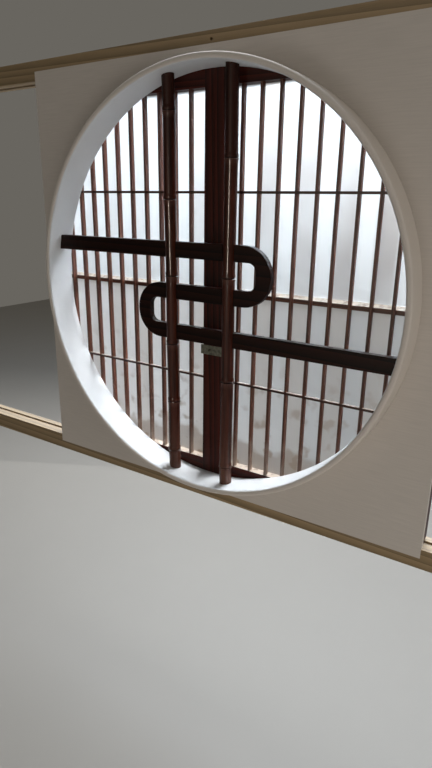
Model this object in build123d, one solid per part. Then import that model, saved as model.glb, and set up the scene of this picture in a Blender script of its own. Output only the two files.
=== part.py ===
from build123d import *
import math
import os

# Round window: a white round lining on a backing board, two lattice sashes that part in the
# middle behind it, and two bamboo poles crossed by a board that turns back on itself.
# Millimetres. X runs to the right, Y away from the room, Z up. The origin is the centre of the
# opening, in the plane of the frame's front faces, which lie on the back of the wall.

# Round lining
ring_radius = 425.0
ring_wall = 12.0
wall_thickness = 60.0
arris_radius = 5.0
fillet_limit = 0.45

# Backing board, let into the tracks' front faces
board_thickness = 12.0
board_side_margin = 55.0
board_lap = 20.0
ring_clearance = 0.15

# Tracks and end posts
frame_depth = 52.0
head_height = 42.0
sill_height = 42.0
fixing_hole_radius = 3.0
fixing_edge_z = 15.0
fixing_end_x = 40.0
head_groove_depth = 14.0
sill_groove_depth = 4.0
jamb_width = 27.0
sash_travel = 400.0
end_gap = 1.0
stop_width = 8.0

# Sashes
sash_gap = 3.0
sash_thickness = 30.0
sash_overlap = 15.0
sash_cover = 65.0
meeting_gap = 0.6
shoulder_gap = 3.0
tongue_thickness = 10.0
head_tongue = 10.0
groove_play = 0.5
running_gap = 0.3
meeting_stile_width = 23.0
outer_stile_width = 28.0
top_rail_height = 46.5
bottom_rail_height = 45.0
middle_rail_height = 15.0
middle_rail_z = -0.5
middle_rail_slope = 6.0
tenon_length = 12.0
tenon_thickness = 9.0
tenon_shoulder = 3.5

# Lattice
slat_count = 10
slat_width = 5.0
slat_depth = 12.0
slat_setback = 1.0
slat_housing = 6.0
tie_height = 5.0
tie_depth = 7.0
upper_tie_z = 200.5
lower_tie_z = -195.0

# Panes and their beads
pane_setback = 21.0
pane_thickness = 3.0
rebate = 5.0
pane_play = 0.5

# Bamboo poles
pole_front = 27.0
pole_radius = 13.0
pole_taper = 0.4
pole_kink = 0.8
pole_spare = 8.0
seat_clearance = 0.2
left_pole_top_x = -86.5
left_pole_foot_x = -79.0
right_pole_top_x = 61.0
right_pole_foot_x = 62.5

# Where each pole has a node, as a share of its half length, from the foot up
left_pole_nodes = (-0.90, -0.61, -0.288, 0.07, 0.443, 0.842)
right_pole_nodes = (-0.905, -0.434, 0.084, 0.619)

# Height above a node and extra radius there: scar ridge, groove, then swelling
node_form = ((-9.0, 0.0), (-1.2, 0.5), (0.0, 1.5), (0.8, 0.1), (4.5, 0.8), (11.0, 0.0))

# Board that turns back on itself
scroll_front = 36.0
scroll_thickness = 14.0
scroll_width = 33.0
scroll_pitch = 88.0
scroll_z = -2.3
scroll_right_x = 157.5
scroll_left_x = -174.5
scroll_hole_radius = 18.0
scroll_chamfer = 1.0
lap_depth = 5.0
lap_play = 0.3

# Screws
lap_screw_length = 18.0
lap_screw_radius = 1.6
board_screw_length = 22.0
board_screw_radius = 1.8
board_screw_count = 6
board_screw_inset = 35.0
frame_screw_length = 66.0
frame_screw_radius = 2.2
frame_screw_edge = 11.0
plate_screw_length = 9.0
plate_screw_radius = 1.0
plate_screw_edge = 2.5
plate_screw_rise = 7.0
screw_hole_play = 0.05
head_sink = 0.1

# Sash lock: a hook that swings out of its case into the keeper on the other sash
lock_z = -130.0
lock_width = 29.0
lock_height = 21.0
lock_plate = 1.5
lock_body_depth = 8.0
lock_wall = 1.5
lock_body_inset = 1.0
lock_body_width = 17.0
keeper_body_width = 10.0
lock_pivot_x = -4.0
lock_pivot_drop = 3.0
hook_inner_radius = 6.5
hook_outer_radius = 9.5
hook_thickness = 3.6
hook_rest_angle = 95.0
hook_length_angle = 95.0
hook_throw = 110.0
hook_hub_radius = 2.8
hook_arm_lean = 8.0
hook_arm_inset = 1.0
hook_pin_radius = 1.5
hook_pin_play = 0.05
thumb_radius = 1.3
thumb_orbit = 4.5
thumb_height = 0.6
thumb_play = 0.35
thumb_spare_angle = 20.0

# Places that follow from these
ring_front_y = -wall_thickness
frame_y = (0.0, frame_depth)
sash_front_y = board_thickness + sash_gap
sash_back_y = sash_front_y + sash_thickness
sash_middle_y = (sash_front_y + sash_back_y) / 2
sash_half_height = ring_radius + sash_overlap
sash_width = ring_radius + sash_cover
meeting_x = meeting_gap / 2
inner_x = meeting_x + meeting_stile_width
outer_x = sash_width - outer_stile_width
top_rail_z = sash_half_height - top_rail_height
bottom_rail_z = bottom_rail_height - sash_half_height
top_rail_span = (top_rail_z, sash_half_height)
bottom_rail_span = (-sash_half_height, bottom_rail_z)
middle_rail = (middle_rail_z - middle_rail_height / 2, middle_rail_z + middle_rail_height / 2)
track_z = sash_half_height + shoulder_gap
tongue_y = (sash_middle_y - tongue_thickness / 2, sash_middle_y + tongue_thickness / 2)
groove_y = (tongue_y[0] - groove_play, tongue_y[1] + groove_play)
tongue_top = sash_half_height + head_tongue
tongue_foot = -(track_z + sill_groove_depth - running_gap)
jamb_x = sash_width + sash_travel + end_gap
track_end = jamb_x + jamb_width
board_half_width = ring_radius + ring_wall + board_side_margin
board_half_height = track_z + board_lap
slat_y = (sash_front_y + slat_setback, sash_front_y + slat_setback + slat_depth)
tie_y = (slat_y[0], slat_y[0] + tie_depth)
slat_pitch = (outer_x - inner_x + slat_width) / (slat_count + 1)
pane_y = (sash_front_y + pane_setback, sash_front_y + pane_setback + pane_thickness)
pole_y = ring_front_y + pole_front + pole_radius
scroll_y = (ring_front_y + scroll_front, ring_front_y + scroll_front + scroll_thickness)
scroll_bars = tuple(scroll_z + step * scroll_pitch for step in (1, 0, -1))
lap_y = scroll_y[0] + lap_depth
plate_y = (sash_front_y - lock_plate, sash_front_y)
lock_body_y = (sash_front_y, sash_front_y + lock_body_depth)
lock_hollow_y = (sash_front_y, sash_front_y + lock_body_depth - lock_wall)
pivot_z = lock_z - lock_pivot_drop
thumb_angle = hook_rest_angle + hook_length_angle
left_pole = (left_pole_top_x, left_pole_foot_x, left_pole_nodes)
right_pole = (right_pole_top_x, right_pole_foot_x, right_pole_nodes)


def block(x, y, z):
    """A solid between two values on each axis."""
    spans = (x, y, z)
    middle = [(low + high) / 2 for low, high in spans]
    return Pos(*middle) * Box(*[abs(high - low) for low, high in spans])


def prism(outline, y):
    """An outline drawn in X and Z, made solid between two values of Y."""
    back = Plane(origin=(0, y[1], 0), x_dir=(1, 0, 0), z_dir=(0, -1, 0))
    return extrude(back * outline, amount=y[1] - y[0])


def rod(radius, y, x=0.0, z=0.0):
    """A round rod along Y."""
    return prism(Pos(x, z) * Circle(radius), y)


def sided(side, span):
    """A span measured out from the middle of the window, on one side or the other."""
    return (side * span[0], side * span[1])


def write(name, solid):
    export_step(solid, os.path.join("parts", name + ".step"))


def screw(length, radius):
    """A countersunk screw along +Z, its head's face at Z = 0."""
    head = radius * 2
    points = [(0, 0), (head, 0), (radius, head - radius), (radius, length - 2 * radius), (0, length)]
    return revolve(make_face(Plane.XZ * Polyline(*points, close=True)), Axis.Z)


def screw_hole(length, radius):
    """The countersunk hole that the same screw sits in."""
    return screw(length, radius + screw_hole_play)


def facing(x, y, z, towards):
    """The place of a screw whose head is at a point and which is driven along +Y or -Y."""
    return Pos(x, y + towards * head_sink, z) * Rot(-90 * towards, 0, 0)


def board_screw_places():
    """Screws through the board's top and bottom edges into the tracks."""
    reach = board_half_width - board_screw_inset
    rise = track_z + board_lap / 2
    steps = [2 * step / (board_screw_count - 1) - 1 for step in range(board_screw_count)]
    return [facing(step * reach, 0, z, 1) for z in (rise, -rise) for step in steps]


def frame_screw_places():
    """Upright screws through the tracks into the ends of the posts."""
    places = []
    for x in (-jamb_x - jamb_width / 2, jamb_x + jamb_width / 2):
        for y in (frame_screw_edge, frame_depth - frame_screw_edge):
            places.append(Pos(x, y, track_z + head_height - head_sink) * Rot(180, 0, 0))
            places.append(Pos(x, y, head_sink - track_z - sill_height))
    return places


def fixing_places():
    """The middles of the holes that fix the frame to the wall: four corners and two in line."""
    reach = track_end - fixing_end_x
    rise_above = track_z + head_height - fixing_edge_z
    rise_below = track_z + sill_height - fixing_edge_z
    return [(x, z) for x in (-reach, 0.0, reach) for z in (rise_above, -rise_below)]


def lining_ring():
    depth = wall_thickness + board_thickness
    section = Pos(ring_radius + ring_wall / 2, board_thickness - depth / 2) * Rectangle(ring_wall, depth)
    front = section.vertices().group_by(Axis.Y)[0]
    return revolve(fillet(front, min(arris_radius, ring_wall * fillet_limit)), Axis.Y)


def backing_board():
    outline = Rectangle(2 * board_half_width, 2 * board_half_height)
    board = prism(outline - Circle(ring_radius + ring_wall + ring_clearance), (0, board_thickness))
    hole = screw_hole(board_screw_length, board_screw_radius)
    for place in board_screw_places():
        board -= place * hole
    return board


def track(side, height, groove_depth):
    """A rail over the whole length, above or below, with the sashes' groove and the board's rebate."""
    section = Pos(frame_depth / 2, side * (track_z + height / 2)) * Rectangle(frame_depth, height)
    groove = Pos(sash_middle_y, side * (track_z + groove_depth / 2))
    groove *= Rectangle(groove_y[1] - groove_y[0], groove_depth)
    rail = extrude(Plane.YZ * (section - groove), amount=track_end, both=True)
    rail -= block((-board_half_width, board_half_width), (0, board_thickness),
                  sided(side, (track_z - shoulder_gap, track_z + board_lap)))
    for x, z in fixing_places():
        if side * z > 0:
            rail -= rod(fixing_hole_radius, frame_y, x, z)
    for place in board_screw_places():
        if side * place.position.Z > 0:
            rail -= place * screw_hole(board_screw_length, board_screw_radius)
    for place in frame_screw_places():
        if side * place.position.Z > 0:
            rail -= place * screw_hole(frame_screw_length, frame_screw_radius)
    return rail


def jamb(side):
    post = block((side * jamb_x, side * track_end), frame_y, (-track_z, track_z))
    for place in frame_screw_places():
        if side * place.position.X > 0:
            post -= place * screw_hole(frame_screw_length, frame_screw_radius)
    return post


def centre_stop():
    """A block in the head's groove that both sashes close against."""
    return block((-stop_width / 2, stop_width / 2), groove_y,
                 (track_z + shoulder_gap, track_z + head_groove_depth))


def pole_centre(top_x, foot_x, nodes, share):
    """The middle of a pole at a share of its half length: a slight zigzag from node to node."""
    steps = (-1.0,) + nodes + (1.0,)
    bends = [pole_kink * (-1) ** index for index in range(len(steps))]
    for low, high, bend, after in zip(steps, steps[1:], bends, bends[1:]):
        if share <= high:
            break
    bend += (after - bend) * (share - low) / (high - low)
    return foot_x + (top_x - foot_x) * (share + 1) / 2 + bend


def half_chord(x):
    return math.sqrt(ring_radius ** 2 - x ** 2)


def pole_spot(top_x, foot_x, nodes, z):
    """The pole's middle at a height."""
    half = half_chord((top_x + foot_x) / 2)
    return pole_centre(top_x, foot_x, nodes, z / half)


def bamboo_pole(top_x, foot_x, nodes):
    half = half_chord((top_x + foot_x) / 2)
    stations = [(-half - pole_spare, 0.0)]
    for node in nodes:
        stations += [(node * half + rise, extra) for rise, extra in node_form]
    stations.append((half + pole_spare, 0.0))
    sections = []
    for z, extra in stations:
        x = pole_centre(top_x, foot_x, nodes, z / half)
        radius = pole_radius - pole_taper * z / half + extra
        sections.append(Plane(origin=(x, pole_y, z)) * Circle(radius))
    pole = loft(sections, ruled=True)
    pole &= rod(ring_radius - seat_clearance, (ring_front_y, board_thickness))
    for z in scroll_bars:
        rise = scroll_width / 2 + lap_play
        x = pole_spot(top_x, foot_x, nodes, z)
        pole -= block((x - 2 * pole_radius, x + 2 * pole_radius), (lap_y, lap_y + 2 * pole_radius),
                      (z - rise, z + rise))
    hole = screw_hole(lap_screw_length, lap_screw_radius)
    for place in lap_screw_places(top_x, foot_x, nodes):
        pole -= place * hole
    return pole


def lap_screw_places(top_x, foot_x, nodes):
    spots = [(pole_spot(top_x, foot_x, nodes, z), z) for z in scroll_bars]
    return [facing(x, scroll_y[1], z, -1) for x, z in spots]


def turn(edge_x, side, z):
    """One rounded turn of the board, with the rounded end of the gap inside it."""
    radius = (scroll_pitch + scroll_width) / 2
    gap = scroll_pitch - scroll_width
    centre_x = edge_x - side * radius
    shape = Pos(centre_x, z) * Circle(radius)
    shape &= Pos(centre_x + side * radius, z) * Rectangle(2 * radius, 2 * radius)
    inner = Pos(edge_x - side * (scroll_width + radius), z) * RectangleRounded(
        2 * radius, gap, min(scroll_hole_radius, gap * fillet_limit))
    return shape - inner


def scroll_board():
    upper, middle, lower = scroll_bars
    radius = (scroll_pitch + scroll_width) / 2
    right = scroll_right_x - radius
    left = scroll_left_x + radius
    spans = ((upper, -ring_radius, right), (middle, left, right), (lower, left, ring_radius))
    outline = turn(scroll_right_x, 1, (upper + middle) / 2) + turn(scroll_left_x, -1, (middle + lower) / 2)
    for z, start, end in spans:
        outline += Pos((start + end) / 2, z) * Rectangle(end - start, scroll_width)
    board = prism(outline, scroll_y)
    board = chamfer(board.faces().sort_by(Axis.Y)[0].edges(), scroll_chamfer)
    board &= rod(ring_radius - seat_clearance, (ring_front_y, board_thickness))
    hole = screw_hole(lap_screw_length, lap_screw_radius)
    for pole in (left_pole, right_pole):
        for z in scroll_bars:
            x = pole_spot(*pole, z)
            reach = pole_radius + pole_taper + lap_play
            rise = scroll_width / 2 + lap_play
            board -= block((x - reach, x + reach), (ring_front_y, lap_y), (z - rise, z + rise))
        for place in lap_screw_places(*pole):
            board -= place * hole
    return board


def tenon_y(rail):
    """The middle rail lies behind the slats, so its tenons are flush with its own front."""
    if rail == middle_rail:
        return (slat_y[1], pane_y[0])
    return (sash_middle_y - tenon_thickness, sash_middle_y)


def tenon(side, edge_x, direction, rail):
    x = (edge_x, edge_x + direction * tenon_length)
    return block(sided(side, x), tenon_y(rail), (rail[0] + tenon_shoulder, rail[1] - tenon_shoulder))


def stile(side, near_x, far_x, inner_face, inwards):
    """An upright of a sash, with its tongues, rebates for the panes and mortises."""
    x = sided(side, (near_x, far_x))
    upright = block(x, (sash_front_y, sash_back_y), (-sash_half_height, sash_half_height))
    tongue_x = sided(side, (max(near_x, stop_width / 2 + running_gap), far_x))
    upright += block(tongue_x, tongue_y, (sash_half_height, tongue_top))
    upright += block(x, tongue_y, (tongue_foot, -sash_half_height))
    recess = sided(side, (inner_face - inwards * rebate, inner_face))
    for low, high in ((bottom_rail_z, middle_rail[0]), (middle_rail[1], top_rail_z)):
        upright -= block(recess, (pane_y[0], sash_back_y), (low - rebate, high + rebate))
    for rail in (top_rail_span, bottom_rail_span, middle_rail):
        upright -= tenon(side, inner_face, -inwards, rail)
    for z in (upper_tie_z, lower_tie_z):
        upright -= tie_bar(side, z)
    return upright


def meeting_stile(side):
    upright = stile(side, meeting_x, inner_x, inner_x, 1)
    if side < 0:
        pocket = lock_body_width
    else:
        pocket = keeper_body_width
    pocket_x = sided(side, (meeting_x, meeting_x + pocket))
    upright -= block(pocket_x, lock_body_y, lock_heights(lock_body_inset))
    hole = screw_hole(plate_screw_length, plate_screw_radius)
    for place in plate_screw_places(side):
        upright -= place * hole
    return upright


def outer_stile(side):
    return stile(side, outer_x, sash_width, outer_x, -1)


def rail_body(side, y, rail):
    body = block(sided(side, (inner_x, outer_x)), y, rail)
    body += tenon(side, inner_x, -1, rail)
    body += tenon(side, outer_x, 1, rail)
    return body


def top_rail(side):
    body = rail_body(side, (sash_front_y, sash_back_y), top_rail_span)
    x = sided(side, (inner_x, outer_x))
    body += block(x, tongue_y, (sash_half_height, tongue_top))
    body -= block(x, (pane_y[0], sash_back_y), (top_rail_z, top_rail_z + rebate))
    return body - slat_mortises(side)


def bottom_rail(side):
    body = rail_body(side, (sash_front_y, sash_back_y), bottom_rail_span)
    x = sided(side, (inner_x, outer_x))
    body += block(x, tongue_y, (tongue_foot, -sash_half_height))
    body -= block(x, (pane_y[0], sash_back_y), (bottom_rail_z - rebate, bottom_rail_z))
    return body - slat_mortises(side)


def middle_rail_bar(side):
    """The rail behind the slats that parts the two panes, its upper edge sloped to shed damp."""
    x = sided(side, (inner_x, outer_x))
    body = block(x, (slat_y[1], sash_back_y), middle_rail)
    for low, high in ((middle_rail[0], middle_rail[0] + rebate), (middle_rail[1] - rebate, middle_rail[1])):
        body -= block(x, (pane_y[0], sash_back_y), (low, high))
    slope = Polyline((slat_y[1], middle_rail[1] - middle_rail_slope), (pane_y[0], middle_rail[1]),
                     (slat_y[1], middle_rail[1]), close=True)
    body -= extrude(Plane.YZ * make_face(slope), amount=sash_width, both=True)
    body += tenon(side, inner_x, -1, middle_rail)
    return body + tenon(side, outer_x, 1, middle_rail)


def slat_x(index):
    """The middle of a slat, counted out from the meeting stile."""
    return inner_x + (index + 1) * slat_pitch - slat_width / 2


def slat_body(side, index):
    x = slat_x(index)
    return block(sided(side, (x - slat_width / 2, x + slat_width / 2)), slat_y,
                 (bottom_rail_z - slat_housing, top_rail_z + slat_housing))


def slat_mortises(side):
    return [slat_body(side, index) for index in range(slat_count)]


def slat(side, index):
    return slat_body(side, index) - tie_bar(side, upper_tie_z) - tie_bar(side, lower_tie_z)


def tie_bar(side, z):
    """A thin bar let into the front of every slat and into both stiles."""
    return block(sided(side, (inner_x - slat_housing, outer_x + slat_housing)), tie_y,
                 (z - tie_height / 2, z + tie_height / 2))


def pane_span(low, high):
    """The sheet's edges in its rebates, for a light between two heights."""
    reach = rebate - pane_play
    return (inner_x - reach, outer_x + reach), (low - reach, high + reach)


def pane(side, low, high):
    x, z = pane_span(low, high)
    return block(sided(side, x), pane_y, z)


def beads(side, low, high):
    """Four strips that hold a pane from behind, the upright ones between the level ones."""
    y = (pane_y[1], sash_back_y)
    x, z = pane_span(low, high)
    level = [(x, (z[0], low)), (x, (high, z[1]))]
    upright = [((x[0], inner_x), (low, high)), ((outer_x, x[1]), (low, high))]
    return Compound([block(sided(side, span_x), y, span_z) for span_x, span_z in level + upright])


def lock_heights(inset):
    rise = lock_height / 2 - inset
    return (lock_z - rise, lock_z + rise)


def plate_screw_places(side):
    x = side * (inner_x - plate_screw_edge)
    return [facing(x, plate_y[0], lock_z + rise, 1) for rise in (-plate_screw_rise, plate_screw_rise)]


def plate_screws(side):
    body = screw(plate_screw_length, plate_screw_radius)
    return Compound([place * body for place in plate_screw_places(side)])


def hook_place(angle):
    """A turn about the lock's pivot, for outlines in X and Z."""
    return Pos(lock_pivot_x, pivot_z) * Rot(0, 0, angle)


def arc_band(inner, outer, start, sweep):
    """A flat curved band about the pivot, from one angle on through a sweep."""
    edges = Line((inner, 0), (outer, 0)) + CenterArc((0, 0), outer, 0, sweep)
    edges += CenterArc((0, 0), inner, 0, sweep)
    edges += Rot(0, 0, sweep) * Line((inner, 0), (outer, 0))
    return hook_place(start) * make_face(edges)


def lock_shell(side, width):
    """A flat plate with a shallow box behind it, open towards the other sash."""
    shell = block(sided(side, (meeting_x, lock_width)), plate_y, lock_heights(0))
    shell += block(sided(side, (meeting_x, meeting_x + width)), lock_body_y, lock_heights(lock_body_inset))
    hole = screw_hole(plate_screw_length, plate_screw_radius)
    for place in plate_screw_places(side):
        shell -= place * hole
    return shell


def lock_case():
    shell = lock_shell(-1, lock_body_width)
    shell -= block((-meeting_x, -meeting_x - lock_body_width + lock_wall), lock_hollow_y,
                   lock_heights(lock_body_inset + lock_wall))
    shell += rod(hook_pin_radius, lock_hollow_y, lock_pivot_x, pivot_z)
    reach = thumb_radius + thumb_play
    slot = arc_band(thumb_orbit - reach, thumb_orbit + reach, thumb_angle - hook_throw - thumb_spare_angle,
                    hook_throw + 2 * thumb_spare_angle)
    return shell - prism(slot, plate_y)


def lock_keeper():
    shell = lock_shell(1, keeper_body_width)
    near = meeting_x + lock_wall
    shell -= block((near, meeting_x + keeper_body_width - lock_wall), lock_hollow_y,
                   lock_heights(lock_body_inset + lock_wall))
    low = math.sqrt(max(hook_inner_radius ** 2 - (near - lock_pivot_x) ** 2, 0))
    high = math.sqrt(hook_outer_radius ** 2 - (meeting_x - lock_pivot_x) ** 2)
    mouth = (pivot_z + low - running_gap, pivot_z + high + running_gap)
    return shell - block((meeting_x, near), lock_hollow_y, mouth)


def lock_hook():
    """The hook with its hub, arm and thumb stud, in one piece."""
    middle_y = (lock_hollow_y[0] + lock_hollow_y[1]) / 2
    y = (middle_y - hook_thickness / 2, middle_y + hook_thickness / 2)
    outline = arc_band(hook_inner_radius, hook_outer_radius, hook_rest_angle, hook_length_angle)
    arm_length = hook_outer_radius - hook_arm_inset
    arm = Pos(arm_length / 2, 0) * Rectangle(arm_length, 2 * thumb_radius)
    outline += hook_place(thumb_angle - hook_arm_lean) * arm
    outline += hook_place(0) * Circle(hook_hub_radius)
    outline -= hook_place(0) * Circle(hook_pin_radius + hook_pin_play)
    hook = prism(outline, y)
    stud = hook_place(thumb_angle) * Pos(thumb_orbit, 0) * Circle(thumb_radius)
    return hook + prism(stud, (plate_y[0] - thumb_height, y[1]))


def lap_screws():
    body = screw(lap_screw_length, lap_screw_radius)
    places = lap_screw_places(*left_pole) + lap_screw_places(*right_pole)
    return Compound([place * body for place in places])


def board_screws():
    body = screw(board_screw_length, board_screw_radius)
    return Compound([place * body for place in board_screw_places()])


def frame_screws():
    body = screw(frame_screw_length, frame_screw_radius)
    return Compound([place * body for place in frame_screw_places()])


def write_frame():
    write("lining_ring", lining_ring())
    write("backing_board", backing_board())
    write("head_track", track(1, head_height, head_groove_depth))
    write("sill_track", track(-1, sill_height, sill_groove_depth))
    write("left_jamb", jamb(-1))
    write("right_jamb", jamb(1))
    write("centre_stop", centre_stop())
    write("left_bamboo_pole", bamboo_pole(*left_pole))
    write("right_bamboo_pole", bamboo_pole(*right_pole))
    write("scroll_board", scroll_board())
    write("lap_screws", lap_screws())
    write("board_screws", board_screws())
    write("frame_screws", frame_screws())


def write_sash(name, side):
    write(name + "_meeting_stile", meeting_stile(side))
    write(name + "_outer_stile", outer_stile(side))
    write(name + "_top_rail", top_rail(side))
    write(name + "_bottom_rail", bottom_rail(side))
    write(name + "_middle_rail", middle_rail_bar(side))
    write(name + "_upper_pane", pane(side, middle_rail[1], top_rail_z))
    write(name + "_lower_pane", pane(side, bottom_rail_z, middle_rail[0]))
    write(name + "_upper_beads", beads(side, middle_rail[1], top_rail_z))
    write(name + "_lower_beads", beads(side, bottom_rail_z, middle_rail[0]))
    write(name + "_upper_tie_bar", tie_bar(side, upper_tie_z))
    write(name + "_lower_tie_bar", tie_bar(side, lower_tie_z))
    for index in range(slat_count):
        write(f"{name}_slat_{index + 1}", slat(side, index))


def write_lock():
    write("lock_case", lock_case())
    write("lock_hook", lock_hook())
    write("lock_keeper", lock_keeper())
    write("lock_case_screws", plate_screws(-1))
    write("lock_keeper_screws", plate_screws(1))


write_frame()
write_sash("left", -1)
write_sash("right", 1)
write_lock()
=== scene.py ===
import math
from functools import partial

import bmesh
import bpy
from bpy.props import FloatProperty, FloatVectorProperty, PointerProperty
from mathutils import Matrix, Vector


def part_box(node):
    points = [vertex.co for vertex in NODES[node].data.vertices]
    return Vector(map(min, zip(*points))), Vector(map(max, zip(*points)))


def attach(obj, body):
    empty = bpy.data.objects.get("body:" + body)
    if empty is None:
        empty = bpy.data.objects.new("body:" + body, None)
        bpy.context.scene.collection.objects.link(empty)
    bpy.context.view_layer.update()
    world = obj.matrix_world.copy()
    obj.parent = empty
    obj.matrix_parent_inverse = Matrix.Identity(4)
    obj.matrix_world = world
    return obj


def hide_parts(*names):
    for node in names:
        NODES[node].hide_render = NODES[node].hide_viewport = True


bl_info = {
    "name": "Round Lattice Window",
    "version": (1, 0, 0),
    "blender": (4, 5, 0),
    "location": "3D View > Sidebar > Window",
    "description": "Dresses a round window with lattice sashes, bamboo poles and a turned board",
    "category": "Object",
}

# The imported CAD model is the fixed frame: metres, X right, Y away from the room, Z up
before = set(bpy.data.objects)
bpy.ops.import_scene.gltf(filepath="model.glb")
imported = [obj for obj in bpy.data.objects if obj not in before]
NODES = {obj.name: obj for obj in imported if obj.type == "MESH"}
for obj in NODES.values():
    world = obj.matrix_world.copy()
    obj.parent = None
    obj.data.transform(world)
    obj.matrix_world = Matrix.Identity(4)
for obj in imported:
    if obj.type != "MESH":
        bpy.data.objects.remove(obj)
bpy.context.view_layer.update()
MM = 0.001
SIDES = ("left", "right")
SASH_FRAME = ("meeting_stile", "outer_stile", "top_rail", "bottom_rail", "upper_beads",
    "lower_beads")

# The nodes that are sets of screws, and the body that each is driven into
SCREWS = {"lap_screws": "frame", "board_screws": "frame", "frame_screws": "frame",
          "lock_case_screws": "left_sash", "lock_keeper_screws": "right_sash"}

# Each bamboo pole: how far its top and its foot stand to the right of the opening's middle, and
# where it has a node, as a share of its half length from the foot up
POLES = {
    "left_bamboo_pole": (-0.0865, -0.079, (-0.90, -0.61, -0.288, 0.07, 0.443, 0.842)),
    "right_bamboo_pole": (0.061, 0.0625, (-0.905, -0.434, 0.084, 0.619)),
}
# The opening's radius less the poles' seat clearance, the depth of the poles' middle, how deep the
# laps are, and how far apart the arms of the turned board lie
POLE_REACH = 0.4248
POLE_MIDDLE_Y = -0.020
LAP_DEPTH = 0.005
BOARD_PITCH = 0.088

# Millimetres above a node and the extra radius there: scar ridge, groove, then swelling
NODE_FORM = ((-9.0, 0.0), (-1.2, 0.5), (0.0, 1.5), (0.8, 0.1), (4.5, 0.8), (11.0, 0.0))

# The camera: its place, its turns in degrees about Z, down and about its own axis, and its lens
CAMERA_PLACE = (0.66406, -0.98880, 0.18199)
CAMERA_TURN, CAMERA_DIP, CAMERA_ROLL = 33.029, 17.945, 0.792
LENS_MM, SENSOR_MM = 26.355, 36.0

# Each lamp: its place, what it is turned to, its width and height, its tint, and the kinds of ray
# that it takes no part in
LAMPS = {
    "sky": ((-0.9, 1.6, 1.2), (-0.2, 0, 0.15), (4.2, 2.5), (1, 1, 1), ()),
    "yard": ((-0.9, 1.5, -0.75), (-0.1, 0, -0.2), (4.2, 1.4), (1, 1, 1), ()),
    "high_sky": ((0, 1.9, 2.8), (0, 0, -0.2), (6.0, 3.4), (0.82, 0.91, 1), ("diffuse",)),
    "through_light": ((0.3, 1.5, 2.3), (0, 0, -0.4), (1.6, 1.2), (0.94, 0.97, 1),
                      ("glossy", "transmission")),
    "side_lamp": ((2.4, -0.9, 0.4), (0.1, 0, 0), (1.2, 1.6), (1, 0.95, 0.88), ("glossy",)),
    "low_lamp": ((0.7, -1.6, -1.0), (0.35, 0, -0.4), (1.4, 0.8), (1, 0.96, 0.92), ("glossy",)),
    "strip_lamp": ((0.2, -1.7, 0.1), (0, 0, 0.1), (0.04, 0.6), (1, 0.86, 0.72), ("diffuse",)),
}
FLOOR_REACH, FLOOR_Z = 6.0, -1.23

# The kinds of node that come most often, some with the settings that go with them
MATH, RANGE, NOISE = "ShaderNodeMath", "ShaderNodeMapRange", "ShaderNodeTexNoise"
COMBINE, SEPARATE, BUMP = "ShaderNodeCombineXYZ", "ShaderNodeSeparateXYZ", "ShaderNodeBump"
PLUS, MINUS, TIMES, TIMES_PLUS, SIZE_OF, LARGER = (
    (MATH, {"operation": operation}) for operation in
    ("ADD", "SUBTRACT", "MULTIPLY", "MULTIPLY_ADD", "ABSOLUTE", "MAXIMUM"))
BLEND = ("ShaderNodeMix", {"data_type": "RGBA"})
CUT_AWAY = ("GeometryNodeMeshBoolean", {"operation": "DIFFERENCE", "solver": "EXACT"})


def linear(code):
    """An sRGB hex colour as linear red, green and blue."""
    parts = [int(code[i:i + 2], 16) / 255 for i in (1, 3, 5)]
    return tuple(c / 12.92 if c <= 0.04045 else ((c + 0.055) / 1.055) ** 2.4 for c in parts)


def per(size_mm):
    """The texture scale at which one feature has this size in millimetres."""
    return 1 / (size_mm * MM)


def wire(tree, node, inputs):
    """Sets or links a node's sockets. A value may be a socket, or a node for its first output."""
    for name, value in dict(inputs).items():
        socket = node.inputs[name]
        if isinstance(value, bpy.types.Node):
            value = next(output for output in value.outputs if output.enabled)
        if isinstance(value, bpy.types.NodeSocket):
            tree.links.new(value, socket)
        elif socket.type == "RGBA":
            socket.default_value = (*value, 1)
        else:
            socket.default_value = value


def add(tree, kind, inputs=(), **settings):
    """Adds a node with its settings and what its sockets hold or are linked to."""
    kind, given = kind if isinstance(kind, tuple) else (kind, {})
    made = tree.nodes.new(kind)
    for name, value in {**given, **settings}.items():
        setattr(made, name, value)
    wire(tree, made, inputs)
    return made


def colour(name, description, code):
    return FloatVectorProperty(name=name, description=description, default=linear(code),
        subtype="COLOR", size=3, min=0, max=1)


def length(name, description, metres):
    return FloatProperty(name=name, description=description, default=metres, unit="LENGTH",
        precision=4, min=0)


def power(name, description, watts):
    return FloatProperty(name=name, description=description, default=watts, unit="POWER", min=0)


# Sizes and colours that a user would change

class PlasterSettings(bpy.types.PropertyGroup):
    tint: colour("Plaster", "Colour of the lime plaster on the lining", "#dddfe1")
    front: colour("Front edge", "Colour of the wall's distemper, carried over the front edge",
        "#dad2ca")
    cloud: length("Cloudiness", "Width of the faint clouds that the trowel leaves", 0.070)
    grain: length("Grain", "Size of the sand grains in the plaster", 0.0011)


class TimberSettings(bpy.types.PropertyGroup):
    softwood: colour("Softwood", "Colour of the unfinished tracks and posts", "#a8906d")
    board: colour("Backing board", "Colour of the distempered board round the lining", "#dad2ca")
    ring_spacing: length("Ring spacing", "Spacing of the growth rings on a sawn face", 0.0042)


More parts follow.
